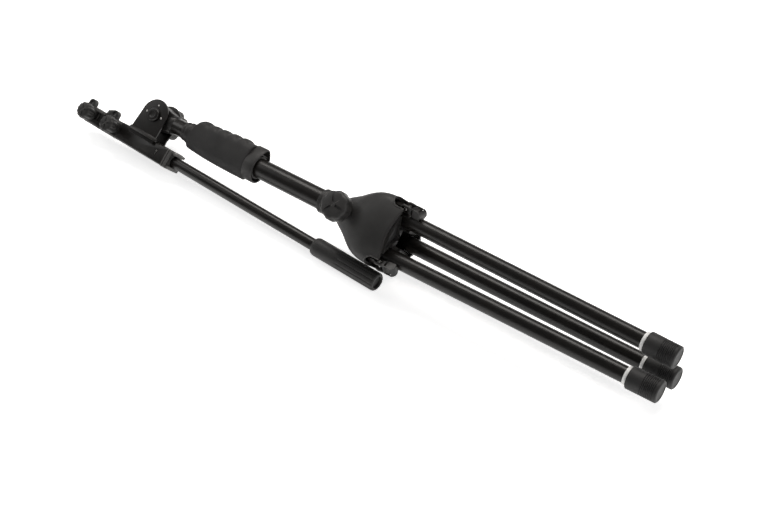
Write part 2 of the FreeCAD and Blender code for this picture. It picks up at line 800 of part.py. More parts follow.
def build_inner_rod():
    ring("inner_rod_tube", BOOM, size("inner_rod_left"), size("inner_rod_right"),
         size("inner_rod_radius"), size("inner_rod_bore"))
    rod("mic_thread", BOOM, size("thread_left"), size("inner_rod_left"), size("thread_radius"))


# Legs -----------------------------------------------------------------------------------------


def build_foot(label, frame):
    start = size("foot_start")
    end = size("foot_end")
    radius = size("foot_radius")
    depth = size("foot_rib_depth")
    pitch = size("foot_rib_pitch")
    outline = [(start, 0), (end, 0), (end, radius - 3.0), (end - 1.6, radius)]
    for number in range(RIB_COUNT):
        crest = end - 1.6 - pitch * number
        outline.append((crest - pitch * 0.55, radius))
        outline.append((crest - pitch * 0.55, radius - depth))
        outline.append((crest - pitch, radius - depth))
        outline.append((crest - pitch, radius))
    outline += [(start + 1.0, radius), (start, radius - 1.0)]
    turned(label, frame, outline)


def build_leg(number):
    frame = leg_frame(number)
    tube_frame = leg_tube_frame(number)
    radius = size("leg_radius")
    ring(f"leg_{number}_tube", tube_frame, size("leg_start"), size("foot_start"), radius,
         radius - size("leg_wall"))
    ring(f"leg_{number}_ring", tube_frame, size("leg_ring_start"), size("foot_start"),
         size("leg_ring_radius"), radius)
    build_foot(f"leg_{number}_foot", tube_frame)

    half = size("bracket_width") * 0.5
    top = size("bracket_top")
    back = size("bracket_back")
    front = size("bracket_front")
    saddle = box((back, front), (size("bracket_bottom"), top), (half * -1, half))
    crown_limit = cylinder(top, front - back, x=back)
    gap = size("bracket_gap") * 0.5
    lug_room = box((back - 1.0, size("bracket_web")), (20.0, top + 5.0), (gap * -1, gap))
    pin_hole = cylinder(size("pivot_bore"), 40.0, x=size("pivot_place"), v=size("pivot_radial"),
                        c=-20.0, turn=POINT_C)
    reach = 45.0
    tube_hole = cylinder(radius, 80.0, x=-reach, v=size("leg_axis") + reach * math.sin(
        math.radians(SIZES["leg_toe_in"])))
    tube_hole.Placement.Rotation = Rotation(Vector(0, 0, 1), -SIZES["leg_toe_in"]).multiply(
        Rotation(Vector(0, 1, 0), 90))
    keep(without(within(saddle, crown_limit), [lug_room, pin_hole, tube_hole]),
         f"leg_{number}_bracket", frame)


def main():
    build_hub()
    build_hub_knob()
    build_mast()
    build_lever()
    build_inner_mast()
    build_boom_block()
    build_tilt_knob()
    build_clamp_knob("rod_clamp_knob", sheet.clamp_b_knob, size("rod_radius"))
    build_boom_rod()
    build_clamp_knob("tip_clamp_knob", sheet.clamp_a_knob, size("inner_rod_radius"))
    build_inner_rod()
    for number in range(1, LEG_COUNT + 1):
        build_leg(number)
    doc.recompute()
    for thing in doc.Objects:
        if "Invalid" in thing.State or "Error" in thing.State:
            raise SystemExit(f"{thing.Name} ({thing.Label}) did not build: {thing.State}")
    os.makedirs("parts", exist_ok=True)
    whole = FreeCAD.BoundBox()
    for part in parts:
        whole.add(part.Shape.optimalBoundingBox(False))
        if part.Shape.isNull() or not part.Shape.isValid():
            raise SystemExit(f"{part.Label} has no valid shape")
        part.Shape.exportStep(f"parts/{part.Label}.step")
        print(f"{part.Label:22s} solids {len(part.Shape.Solids)} volume {part.Shape.Volume:10.1f}")
    print(f"whole x {whole.XMin:.2f} {whole.XMax:.2f} y {whole.YMin:.2f} {whole.YMax:.2f} "
          f"z {whole.ZMin:.2f} {whole.ZMax:.2f}")


main()
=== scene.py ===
"""Looks of the folded microphone boom stand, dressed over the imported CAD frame.

Each piece is drawn in millimetres in the frame of the part it belongs to: the stand's own frame
(x along the mast toward the feet, v across, c toward the knobs), a leg's, or the boom's.
"""

import json
import math

import bmesh
import bpy
from mathutils import Matrix, Vector


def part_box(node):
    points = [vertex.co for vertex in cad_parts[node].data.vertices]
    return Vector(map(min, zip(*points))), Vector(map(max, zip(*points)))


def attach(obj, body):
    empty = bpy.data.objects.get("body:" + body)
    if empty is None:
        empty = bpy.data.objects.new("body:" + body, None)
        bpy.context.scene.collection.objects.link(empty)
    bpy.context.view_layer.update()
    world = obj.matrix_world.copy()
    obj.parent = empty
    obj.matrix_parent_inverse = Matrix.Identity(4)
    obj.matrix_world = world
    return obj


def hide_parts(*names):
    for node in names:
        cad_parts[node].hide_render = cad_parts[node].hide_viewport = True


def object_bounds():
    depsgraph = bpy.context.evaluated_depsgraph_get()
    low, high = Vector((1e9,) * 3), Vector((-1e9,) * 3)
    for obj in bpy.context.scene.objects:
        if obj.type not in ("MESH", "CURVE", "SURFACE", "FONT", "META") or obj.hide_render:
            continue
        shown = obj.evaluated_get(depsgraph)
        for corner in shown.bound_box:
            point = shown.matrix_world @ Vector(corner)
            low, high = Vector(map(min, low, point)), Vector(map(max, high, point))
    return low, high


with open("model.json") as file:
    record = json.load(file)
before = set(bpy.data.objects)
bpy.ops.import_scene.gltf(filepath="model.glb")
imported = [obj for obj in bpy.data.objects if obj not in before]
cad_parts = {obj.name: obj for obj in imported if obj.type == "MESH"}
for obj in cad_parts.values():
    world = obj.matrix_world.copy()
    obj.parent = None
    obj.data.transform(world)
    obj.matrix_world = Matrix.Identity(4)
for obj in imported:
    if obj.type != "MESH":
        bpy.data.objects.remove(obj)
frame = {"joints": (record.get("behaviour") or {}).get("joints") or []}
cad_box = [list(corner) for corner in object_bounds()]

MM = 0.001
FULL = 2 * math.pi
JOINTS = {joint["name"]: joint for joint in frame["joints"]}

# Frames ---------------------------------------------------------------------------------------


def frame_of(origin, along, toward_c):
    """Matrix from millimetres in a part's frame to metres in the row frame."""
    along = Vector(along).normalized()
    toward_c = Vector(toward_c).normalized()
    across = toward_c.cross(along)
    return Matrix((
        (along.x * MM, across.x * MM, toward_c.x * MM, origin[0]),
        (along.y * MM, across.y * MM, toward_c.y * MM, origin[1]),
        (along.z * MM, across.z * MM, toward_c.z * MM, origin[2]),
        (0, 0, 0, 1)))


PIVOT_X = -24.5
PIVOT_OUT = 42.0
knob_axis = Vector(JOINTS["hub_knob_turn"]["axis"])
mast_low, mast_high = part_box("mast_tube")
leg_pivot = Vector(JOINTS["leg_1_fold"]["pos_m"])
mast_origin = Vector((leg_pivot.x - PIVOT_X * MM, (mast_low.y + mast_high.y) / 2,
                      (mast_low.z + mast_high.z) / 2))
STAND = frame_of(mast_origin, (1, 0, 0), knob_axis)
TO_STAND = STAND.inverted()
TILT_X = (TO_STAND @ Vector(JOINTS["boom_tilt"]["pos_m"])).x
boom_along = -Vector(JOINTS["rod_slide"]["axis"])
BOOM_OFFSET = 40.4
tilt_frame = frame_of(JOINTS["boom_tilt"]["pos_m"], boom_along, knob_axis)
BOOM = tilt_frame @ Matrix.Translation((0, -BOOM_OFFSET, 0))
HUB_KNOB_X = -102.0
ROD_KNOB_S = -52.3
TIP_KNOB_S = -97.3


def leg_matrix(number):
    """x along the mast, second axis outward through the leg, third along the hinge pin."""
    return frame_of(mast_origin, (1, 0, 0), JOINTS[f"leg_{number}_fold"]["axis"])


LEG_AXIS = 26.3
TOE_IN = math.radians(0.65)


def leg_tube_matrix(number):
    return leg_matrix(number) @ Matrix.Translation((0, LEG_AXIS, 0)) @ Matrix.Rotation(-TOE_IN, 4, "Z")


def axis_up_c(base, x, v=0.0):
    """A frame whose first axis points along +c, standing at (x, v)."""
    return base @ Matrix.Translation((x, v, 0)) @ Matrix.Rotation(-math.pi / 2, 4, "Y")


def axis_down_c(base, x, v=0.0):
    return base @ Matrix.Translation((x, v, 0)) @ Matrix.Rotation(math.pi / 2, 4, "Y")


# Materials ------------------------------------------------------------------------------------


def material(name, dark, light, rough, grain, bump, spots=0.0, metallic=0.0, shine=0.35,
             edge_wear_and_sheen=None):
    """A finish with mottled colour, uneven gloss and a fine surface grain."""
    made = bpy.data.materials.new(name)
    made.use_nodes = True
    nodes = made.node_tree.nodes
    links = made.node_tree.links
    shader = nodes["Principled BSDF"]
    shader.inputs["Metallic"].default_value = metallic
    shader.inputs["Specular IOR Level"].default_value = shine
    place = nodes.new("ShaderNodeTexCoord")

    def noise(scale, detail):
        node = nodes.new("ShaderNodeTexNoise")
        node.inputs["Scale"].default_value = scale
        node.inputs["Detail"].default_value = detail
        links.new(place.outputs["Object"], node.inputs["Vector"])
        return node

    mottle = noise(38.0, 5.0)
    tint = nodes.new("ShaderNodeValToRGB")
    tint.color_ramp.elements[0].position = 0.35
    tint.color_ramp.elements[0].color = (*dark, 1)
    tint.color_ramp.elements[1].position = 0.68
    tint.color_ramp.elements[1].color = (*light, 1)
    links.new(mottle.outputs["Fac"], tint.inputs["Fac"])
    colour = tint.outputs["Color"]
    # Sharp, pointed edges get a lighter colour: partly rubbed wear, partly a painted edge highlight.
    if edge_wear_and_sheen:
        pointed = nodes.new("ShaderNodeNewGeometry")
        ramp = nodes.new("ShaderNodeValToRGB")
        ramp.color_ramp.elements[0].position = 0.53
        ramp.color_ramp.elements[1].position = 0.60
        links.new(pointed.outputs["Pointiness"], ramp.inputs["Fac"])
        mix = nodes.new("ShaderNodeMix")
        mix.data_type = "RGBA"
        mix.inputs["B"].default_value = (*edge_wear_and_sheen, 1)
        links.new(ramp.outputs["Color"], mix.inputs["Factor"])
        links.new(colour, mix.inputs["A"])
        colour = mix.outputs["Result"]
    links.new(colour, shader.inputs["Base Color"])

    gloss = nodes.new("ShaderNodeMapRange")
    gloss.inputs["To Min"].default_value = rough - 0.06
    gloss.inputs["To Max"].default_value = rough + 0.08
    links.new(noise(120.0, 4.0).outputs["Fac"], gloss.inputs["Value"])
    links.new(gloss.outputs["Result"], shader.inputs["Roughness"])

    fine = noise(grain, 3.0)
    height = fine.outputs["Fac"]
    if spots:
        pits = nodes.new("ShaderNodeTexVoronoi")
        pits.inputs["Scale"].default_value = spots
        links.new(place.outputs["Object"], pits.inputs["Vector"])
        both = nodes.new("ShaderNodeMath")
        both.operation = "ADD"
        links.new(fine.outputs["Fac"], both.inputs[0])
        links.new(pits.outputs["Distance"], both.inputs[1])
        height = both.outputs["Value"]
    relief = nodes.new("ShaderNodeBump")
    relief.inputs["Strength"].default_value = bump
    relief.inputs["Distance"].default_value = 0.0002
    links.new(height, relief.inputs["Height"])
    links.new(relief.outputs["Normal"], shader.inputs["Normal"])
    return made


# Finishes given a lighter edge colour below show it on sharp edges, partly as wear and partly as a painted
# edge highlight.
COAT = material("powder_coat", (0.0055, 0.0048, 0.0043), (0.0085, 0.0072, 0.0062), 0.32, 1500.0, 0.10)
PLASTIC = material("moulded_plastic", (0.019, 0.0185, 0.018), (0.027, 0.0262, 0.0255), 0.50, 2200.0,
                   0.22, spots=1800.0, edge_wear_and_sheen=(0.06, 0.058, 0.056))
GREY = material("grey_plastic", (0.022, 0.0213, 0.0205), (0.034, 0.033, 0.032), 0.47, 2000.0, 0.20,
                spots=1500.0, edge_wear_and_sheen=(0.10, 0.098, 0.094))
RUBBER = material("rubber", (0.020, 0.0195, 0.0195), (0.028, 0.0272, 0.027), 0.62, 2600.0, 0.35,
                  spots=2300.0)
CLIP_PLASTIC = material("clip_plastic", (0.010, 0.0097, 0.0094), (0.015, 0.0146, 0.0142), 0.42, 2200.0,
                        0.22, spots=1800.0, edge_wear_and_sheen=(0.07, 0.068, 0.066))
FOOT_RUBBER = material("foot_rubber", (0.014, 0.0138, 0.0138), (0.021, 0.0205, 0.0205), 0.55, 2400.0,
                       0.3, spots=2000.0)
CAST = material("painted_casting", (0.010, 0.0095, 0.009), (0.016, 0.0155, 0.015), 0.42, 1300.0, 0.28,
                spots=900.0, edge_wear_and_sheen=(0.05, 0.048, 0.045))
STEEL = material("bright_steel", (0.46, 0.45, 0.44), (0.60, 0.59, 0.57), 0.28, 3000.0, 0.12,
                 metallic=1.0)
WHITE = material("white_plastic", (0.76, 0.76, 0.75), (0.85, 0.85, 0.84), 0.38, 1800.0, 0.08)
WEIGHT = material("coated_iron", (0.021, 0.0205, 0.020), (0.029, 0.0282, 0.0275), 0.52, 1700.0, 0.25,
                  spots=1400.0, edge_wear_and_sheen=(0.07, 0.068, 0.066))

# Mesh tools -----------------------------------------------------------------------------------

# Edges that bend by more than this stay sharp.
SHARP = math.radians(32)
CRISP = math.radians(40)
SMOOTH = math.radians(50)


def finish_piece(name, bm, matrix, finish, body, nodes=(), bevel=0.0, steps=2, sharp=SHARP):
    """Turn a mesh drawn in millimetres into a piece that rides on a CAD body."""
    bmesh.ops.remove_doubles(bm, verts=bm.verts, dist=1e-4)
    bmesh.ops.recalc_face_normals(bm, faces=bm.faces)
    if bevel:
        corners = [edge for edge in bm.edges
                   if len(edge.link_faces) == 2 and edge.calc_face_angle(0) > sharp]
        bmesh.ops.bevel(bm, geom=corners, offset=bevel, segments=steps, profile=0.6,
                        affect="EDGES", clamp_overlap=True)
    for face in bm.faces:
        face.smooth = True
    for edge in bm.edges:
        edge.smooth = not (len(edge.link_faces) == 2 and edge.calc_face_angle(0) > sharp)
    bm.transform(matrix)
    if matrix.determinant() < 0:
        bmesh.ops.reverse_faces(bm, faces=bm.faces)
    mesh = bpy.data.meshes.new(name)
    bm.to_mesh(mesh)
    bm.free()
    piece = bpy.data.objects.new(name, mesh)
    bpy.context.scene.collection.objects.link(piece)
    mesh.materials.append(finish)
    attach(piece, body)
    if nodes:
        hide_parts(*nodes)
    return piece


def skin(loops, start_cap=True, end_cap=True, ring=False):
    """Quads between matching loops of points; ring joins the last loop to the first."""
    bm = bmesh.new()
    rows = [[bm.verts.new(point) for point in loop] for loop in loops]
    pairs = list(zip(rows, rows[1:]))
    if ring:
        pairs.append((rows[-1], rows[0]))
    for low, high in pairs:
        count = len(low)
        for number in range(count):
            following = (number + 1) % count
            bm.faces.new((low[number], low[following], high[following], high[number]))
    if not ring:
        if start_cap:
            bm.faces.new(rows[0][::-1])
        if end_cap:
            bm.faces.new(rows[-1])
    return bm


def circle(x, radius, count):
    return [(x, radius * math.cos(FULL * n / count), radius * math.sin(FULL * n / count))
            for n in range(count)]


def rounded(profile, radius, steps=3):
    """Round every corner of an outline of (x, r) points by up to radius."""
    points = []
    last = len(profile) - 1
    for number, point in enumerate(profile):
        if number in (0, last):
            points.append(tuple(point))
            continue
        here = Vector(point)
        before = Vector(profile[number - 1]) - here
        after = Vector(profile[number + 1]) - here
        cut = min(radius, before.length * 0.45, after.length * 0.45)
        first = here + before.normalized() * cut
        second = here + after.normalized() * cut
        for step in range(steps + 1):
            share = step / steps
            spot = first.lerp(here, share).lerp(here.lerp(second, share), share)
            points.append(tuple(spot))
    return points


def lathe(name, matrix, profile, finish, body, nodes=(), soft=0.5, count=72):
    """A turned piece: the (x, radius) outline spun about the first axis, corners eased."""
    eased = rounded(profile, soft)
    centre = 0.02
    loops = [circle(x, max(radius, centre), count) for x, radius in eased]
    closed = profile[0] == profile[-1]
    if closed:
        bm = skin(loops[:-1], ring=True)
    else:
        bm = skin(loops)
    return finish_piece(name, bm, matrix, finish, body, nodes)


def tube(name, matrix, left, right, outer, inner, finish, body, nodes=(), soft=0.4):
    profile = [(left, inner + 0.4), (left, outer), (right, outer), (right, inner), (left, inner),
               (left, inner + 0.4)]
    return lathe(name, matrix, profile, finish, body, nodes, soft)


def prism(outline, low, high):
    """A flat outline in the first two axes, thickened from low to high along the third."""
    return skin([[(x, v, low) for x, v in outline], [(x, v, high) for x, v in outline]])


def arc(centre, radius, start, end, steps=12):
    """Points along an arc, with angles in degrees."""
    points = []
    for step in range(steps + 1):
        angle = math.radians(start + (end - start) * step / steps)
        points.append((centre[0] + radius * math.cos(angle), centre[1] + radius * math.sin(angle)))
    return points


def box_mesh(x_range, v_range, c_range):
    outline = [(x_range[0], v_range[0]), (x_range[1], v_range[0]), (x_range[1], v_range[1]),
               (x_range[0], v_range[1])]
    return prism(outline, *c_range)


def carved(bm, cutters):
    """bm with each cutter's space taken out."""
    base = as_object(bm)
    for cutter in cutters:
        tool = as_object(cutter)
        modifier = base.modifiers.new("carve", "BOOLEAN")
        modifier.operation = "DIFFERENCE"
        modifier.solver = "EXACT"
        modifier.object = tool
    bpy.context.view_layer.update()
    graph = bpy.context.evaluated_depsgraph_get()
    result = bmesh.new()
    result.from_mesh(base.evaluated_get(graph).to_mesh())
    for modifier in list(base.modifiers):
        bpy.data.objects.remove(modifier.object)
    bpy.data.objects.remove(base)
    return result


def as_object(bm):
    bmesh.ops.recalc_face_normals(bm, faces=bm.faces)
    mesh = bpy.data.meshes.new("scratch")
    bm.to_mesh(mesh)
    bm.free()
    thing = bpy.data.objects.new("scratch", mesh)
    bpy.context.scene.collection.objects.link(thing)
    return thing


# Hub ------------------------------------------------------------------------------------------

# Outside of the bell: place along the mast, lobe centre, lobe corner radius, radius between lobes.
BELL = (
    (-138.0, 0.01, 15.1, 15.1),
    (-122.0, 0.2, 14.8, 14.95),
    (-113.0, 1.6, 14.3, 15.8),
    (-104.0, 7.0, 13.9, 18.8),
    (-92.0, 14.5, 13.5, 24.3),
    (-76.0, 25.5, 13.4, 31.0),
    (-64.0, 31.4, 13.2, 34.1),
    (-51.0, 34.2, 13.2, 35.5),
    (-36.0, 34.6, 13.0, 35.5),
    (-24.0, 34.6, 12.9, 35.5),
)
FIRST_LEG = 31.2
LEG_STEP = 120.0
RIM_X = -24.0
RIM_DIP = 2.6
NOTCH_X = -33.5
NOTCH_HALF = 10.0
WALL = 3.0


def smooth_between(rows, place):
    """The row's values at a place, along a smooth curve through the rows."""
    for number in range(len(rows) - 1):
        low, high = rows[number], rows[number + 1]
        if place <= high[0] or number == len(rows) - 2:
            break
    before = rows[max(number - 1, 0)]
    after = rows[min(number + 2, len(rows) - 1)]
    span = high[0] - low[0]
    share = max(0.0, min(1.0, (place - low[0]) / span))
    values = []
    for column in range(1, len(low)):
        slope_low = (high[column] - before[column]) / (high[0] - before[0]) * span
        slope_high = (after[column] - low[column]) / (after[0] - low[0]) * span
        square, cube = share ** 2, share ** 3
        values.append((2 * cube - 3 * square + 1) * low[column] + (cube - 2 * square + share) * slope_low
                      + (3 * square - 2 * cube) * high[column] + (cube - square) * slope_high)
    return values


def lobed_radius(angle, lobe_centre, corner, face):
    """Distance from the axis to a rounded triangle with bulging sides."""
    sixty = math.radians(60)
    turn = (math.radians(angle - FIRST_LEG) + sixty) % (2 * sixty) - sixty
    turn = abs(turn)
    flat = face - corner
    behind = (lobe_centre ** 2 - flat ** 2) / (2 * flat - lobe_centre)
    side_radius = face + behind
    reach = math.sqrt(max(corner ** 2 - (lobe_centre * math.sin(turn)) ** 2, 0.0))
    near_corner = lobe_centre * math.cos(turn) + reach
    off = sixty - turn
    near_side = -behind * math.cos(off) + math.sqrt(side_radius ** 2 - (behind * math.sin(off)) ** 2)
    if corner <= lobe_centre * math.sin(turn):
        return near_side
    lean = math.atan2(lobe_centre * math.sin(sixty), lobe_centre * math.cos(sixty) + behind)
    corner_turn = math.atan2(near_corner * math.sin(turn), near_corner * math.cos(turn) - lobe_centre)
    return near_corner if corner_turn < sixty - lean else near_side


def bell_radius(x, angle, inset=0.0):
    lobe_centre, corner, face = smooth_between(BELL, x)
    return lobed_radius(angle, lobe_centre, corner - inset, face - inset)


def bell_point(x, angle, inset=0.0):
    radius = bell_radius(x, angle, inset)
    return (x, radius * math.cos(math.radians(angle)), radius * math.sin(math.radians(angle)))


def rim_at(angle):
    """The rim is drawn back in a shallow arc between the lobes."""
    between = 0.5 - 0.5 * math.cos(math.radians(3 * (angle - FIRST_LEG)))
    return RIM_X - RIM_DIP * between ** 1.5


def build_hub():
    around = 180
    along = 56
    angles = [360.0 * n / around for n in range(around)]
    start = BELL[0][0]

    def loop(share, inset, first=start, edge=0.0):
        return [bell_point(first + (rim_at(angle) - edge - first) * share, angle, inset)
                for angle in angles]

    outside = [loop(n / along, 0.0, edge=0.9) for n in range(along + 1)]
    lip = [loop(1.0, 0.35, edge=0.25), loop(1.0, 1.0), loop(1.0, WALL - 0.8),
           loop(1.0, WALL, edge=0.6)]
    inside = [loop(1.0 - n / 30, WALL, first=-100.0, edge=1.2) for n in range(31)]
    bore = [circle(-100.0, 12.9, around), circle(start, 12.9, around)]
    shell = skin(outside + lip + inside + bore, ring=True)

    cutters = []
    for number in range(3):
        turn = Matrix.Rotation(math.radians(FIRST_LEG + LEG_STEP * number), 4, "X")
        outline = arc((NOTCH_X, 0), NOTCH_HALF, 90, 270, 16) + [
            (RIM_X + 5, -NOTCH_HALF), (RIM_X + 5, NOTCH_HALF)]
        cutter = prism(outline, 18, 60)
        cutter.transform(turn @ Matrix.Rotation(-math.pi / 2, 4, "X"))
        cutters.append(cutter)
    shell = carved(shell, cutters)
    finish_piece("bell", shell, STAND, PLASTIC, "hub", ["hub_shell"], sharp=math.radians(38))

    for number in range(3):
        build_notch_lip(number)
    boss = [(8.0, 9.5), (22.5, 9.3), (24.0, 8.5), (28.4, 8.3), (28.4, 3.4), (8.0, 3.4)]
    lathe("knob_boss", axis_up_c(STAND, HUB_KNOB_X), boss, PLASTIC, "hub")
    for number in range(6):
        angle = FULL * number / 6
        rib = box_mesh((15.4, 23.5), (8.2, 10.8), (-1.0, 1.0))
        rib.transform(Matrix.Rotation(angle, 4, "X"))
        finish_piece(f"boss_rib_{number + 1}", rib, axis_up_c(STAND, HUB_KNOB_X), PLASTIC, "hub",
                     bevel=0.4)
    collar = [(-143.0, 12.9), (-143.0, 14.6), (-142.0, 15.2), (-138.6, 15.2), (-138.2, 14.9),
              (-137.6, 14.9), (-137.6, 12.9), (-143.0, 12.9)]
    lathe("neck_ring", STAND, collar, PLASTIC, "hub", ["hub_end_ring"], soft=0.6)
    build_core()


def build_notch_lip(number):
    """A raised bead that follows the edge of a leg's notch."""
    lobe = FIRST_LEG + LEG_STEP * number
    edge = NOTCH_HALF + 0.35
    start = RIM_X - 0.5
    straight = [start + (NOTCH_X - start) * step / 8 for step in range(8)]
    path = [(x, edge) for x in straight]
    path += arc((NOTCH_X, 0), edge, 90, 270, 22)
    path += [(x, -edge) for x in reversed(straight)]
    spots = []
    for x, sideways in path:
        radius = 44.0
        for _ in range(6):
            angle = lobe + math.degrees(math.asin(sideways / radius))
            radius = bell_radius(x, angle)
        turn = math.radians(angle)
        spots.append(Vector((x, (radius - 0.25) * math.cos(turn), (radius - 0.25) * math.sin(turn))))
    bead = 0.95
    loops = []
    for place, spot in enumerate(spots):
        ahead = spots[min(place + 1, len(spots) - 1)] - spots[max(place - 1, 0)]
        ahead.normalize()
        outward = Vector((0, spot.y, spot.z)).normalized()
        side = ahead.cross(outward).normalized()
        outward = side.cross(ahead)
        loops.append([tuple(spot + bead * (math.cos(FULL * n / 10) * outward
                                           + math.sin(FULL * n / 10) * side)) for n in range(10)])
    finish_piece(f"notch_lip_{number + 1}", skin(loops), STAND, PLASTIC, "hub")


CORE_BACK = -48.0
CORE_FRONT = -22.5


def build_core():
    """Three sectors between the legs, each with a hollowed front, on a common plate."""
    apex = NOTCH_HALF / math.sin(math.radians(60))
    for number in range(3):
        middle = FIRST_LEG + LEG_STEP * (number + 0.5)
        outline = [(apex, 0.0)]
        for step in range(25):
            angle = -60 + 120 * step / 24
            radius = lobed_radius(middle + angle, 33.0, 9.6, 32.2)
            across = radius * math.cos(math.radians(angle))
            up = radius * math.sin(math.radians(angle))
            if abs(math.degrees(math.atan2(up, across - apex))) < 59.0:
                outline.append((across, up))
        sector = skin([[(x, a, b) for a, b in outline] for x in (CORE_BACK + 2.0, CORE_FRONT)])
        front = max(sector.faces, key=lambda face: face.calc_center_median().x)
        bmesh.ops.inset_region(sector, faces=[front], thickness=1.5)
        bmesh.ops.translate(sector, verts=front.verts, vec=(-5.0, 0, 0))
        sector.transform(Matrix.Rotation(math.radians(middle), 4, "X"))
        finish_piece(f"core_sector_{number + 1}", sector, STAND, PLASTIC, "hub",
                     ["hub_core"] if number == 0 else [], bevel=0.35)
    plate = [(CORE_BACK, 12.9), (CORE_BACK, 27.0), (-42.0, 27.0), (-42.0, 12.9), (CORE_BACK, 12.9)]
    lathe("core_plate", STAND, plate, PLASTIC, "hub")
    for number in range(1, 4):
        matrix = leg_matrix(number)
        lug = [(PIVOT_X + x, v) for x, v in (
            (-18.5, 30.0), (-18.5, 41.0), (-16.0, 42.3), (2.0, 42.3), (2.9, 41.0), (2.9, 38.4),
            (1.8, 37.4), (-10.0, 37.4), (-12.0, 30.0))]
        finish_piece(f"pivot_lug_{number}", prism(lug, -4.1, 4.1), matrix, COAT, "hub", bevel=0.4)
        pin = axis_up_c(matrix, PIVOT_X, PIVOT_OUT)
        lathe(f"pivot_pin_{number}", pin, [(-6.9, 0), (-6.9, 2.0), (6.9, 2.0), (6.9, 0)], STEEL, "hub",
              [f"leg_{number}_pin"], soft=0.5, count=32)


# Knobs ----------------------------------------------------------------------------------------


def knob(name, matrix, radius, lobes, depth, bottom, top, body, nodes, grooves=0):
    """A clamp knob with finger lobes, a domed face and shallow grooves running out across it."""
    count = lobes * 16
    height = top - bottom
    profile = [(bottom, 0.55), (bottom, 0.88), (bottom + 0.9, 0.97), (bottom + 1.8, 1.0),
               (top - 0.34 * height, 1.0), (top - 0.24 * height, 0.985), (top - 0.16 * height, 0.95),
               (top - 0.10 * height, 0.89), (top - 0.05 * height, 0.78), (top - 0.02 * height, 0.60),
               (top, 0.35), (top, 0.02)]
    loops = []
    for place, share in profile:
        loop = []
        for number in range(count):
            angle = FULL * number / count
            valley = (0.5 - 0.5 * math.cos(lobes * angle)) ** 1.6
            fade = max(0.0, min(1.0, (share - 0.70) / 0.25))
            reach = radius * share - depth * valley * fade
            loop.append((place, reach * math.cos(angle), reach * math.sin(angle)))
        loops.append(loop)
    grip = skin(loops)
    cutters = []
    for number in range(grooves):
        half = 0.085 * radius
        groove = box_mesh((top - 0.07 * height, top + 2.0), (0.16 * radius, 0.84 * radius), (-half, half))
        groove.transform(Matrix.Rotation(FULL * (number + 0.2) / grooves, 4, "X"))
        cutters.append(groove)
    if cutters:
        grip = carved(grip, cutters)
    return finish_piece(name, grip, matrix, GREY, body, nodes, sharp=math.radians(42))


def build_knobs():
    hub = axis_up_c(STAND, HUB_KNOB_X)
    knob("hub_knob", hub, 18.4, 8, 1.1, 29.3, 45.4, "hub_knob", ["hub_knob_cap"], grooves=3)
    skirt = [(28.8, 3.2), (28.8, 7.5), (29.2, 9.5), (29.8, 9.5), (29.8, 3.2)]
    lathe("hub_knob_skirt", hub, skirt, GREY, "hub_knob")
    lathe("hub_knob_screw", hub, [(13.0, 0), (13.0, 2.5), (14.0, 2.95), (30.0, 2.95), (30.0, 0)],
          STEEL, "hub_knob", ["hub_knob_stud"], count=32)
    for name, place, body, inner in (("rod_clamp_knob", ROD_KNOB_S, "rod_clamp_knob", 7.8),
                                     ("tip_clamp_knob", TIP_KNOB_S, "tip_clamp_knob", 6.6)):
        matrix = axis_up_c(BOOM, place)
        knob(name, matrix, 11.3, 12, 0.9, 18.1, 30.4, body, [f"{name}_cap"], grooves=4)
        lathe(f"{name}_screw", matrix, [(inner, 0), (inner, 2.6), (inner + 0.8, 2.95), (22.0, 2.95),
                                        (22.0, 0)], STEEL, body, [f"{name}_stud"], count=32)
    tilt = axis_down_c(BOOM, 0.0, BOOM_OFFSET)
    knob("tilt_knob_grip", tilt, 20.0, 7, 3.6, 17.6, 36.9, "tilt_knob", ["tilt_knob"], grooves=7)


# Mast and clutch ------------------------------------------------------------------------------


def egg(x, half, bottom, top, corner, count=64):
    """A section with a round underside and a flatter, rounded top."""
    points = []
    for number in range(count):
        angle = FULL * number / count
        up, side = math.cos(angle), math.sin(angle)
        if up >= 0:
            power = 2.0 / corner
            v = top * (abs(up) ** power)
            c = half * math.copysign(abs(side) ** power, side)
        else:
            v = bottom * abs(up)
            c = half * side
        points.append((x, v, c))
    return points


GRIP_LEFT = -361.0
GRIP_RIGHT = -262.0
PALM_TOP = 3.0
SKIRT_EDGE = -11.0
SKIRT_TOP = 9.5
RIDGES = ((-351.0, 23.4), (-330.0, 23.4), (-313.5, 24.3), (-297.0, 25.2), (-280.0, 26.1))
RIDGE_DROP = 3.1
END_LEAN = 0.25
END_RAMP = 3.0
END_SHARE = 0.62
SLEEVE = 13.05


def ridge_height(x):
    """Finger ridges that climb toward the collar."""
    slope = (RIDGES[-1][1] - RIDGES[1][1]) / (RIDGES[-1][0] - RIDGES[1][0])
    base = RIDGES[1][1] - RIDGE_DROP + slope * (x - RIDGES[1][0])
    top = base
    for number, (peak, height) in enumerate(RIDGES):
        spread = 8.0 if number == 0 else 5.4
        top = max(top, base + (height - base) * math.exp(-((x - peak) / spread) ** 4))
    start = max(0.0, min(1.0, (x - GRIP_LEFT) / END_RAMP))
    return top * (END_SHARE + (1 - END_SHARE) * math.sin(start * math.pi / 2))


def grip_share(x):
    return (x - GRIP_LEFT) / (GRIP_RIGHT - GRIP_LEFT)


def belly(x):
    """The grip's underside, which sinks toward the collar."""
    return -18.2 - 4.1 * (1 - (1 - grip_share(x)) ** 3)


def grip_half(x):
    edge = min(1.0, (x - GRIP_LEFT) / 2.5 + 0.9, (GRIP_RIGHT - x) / 1.5 + 0.95)
    return (14.7 + 1.0 * grip_share(x)) * edge


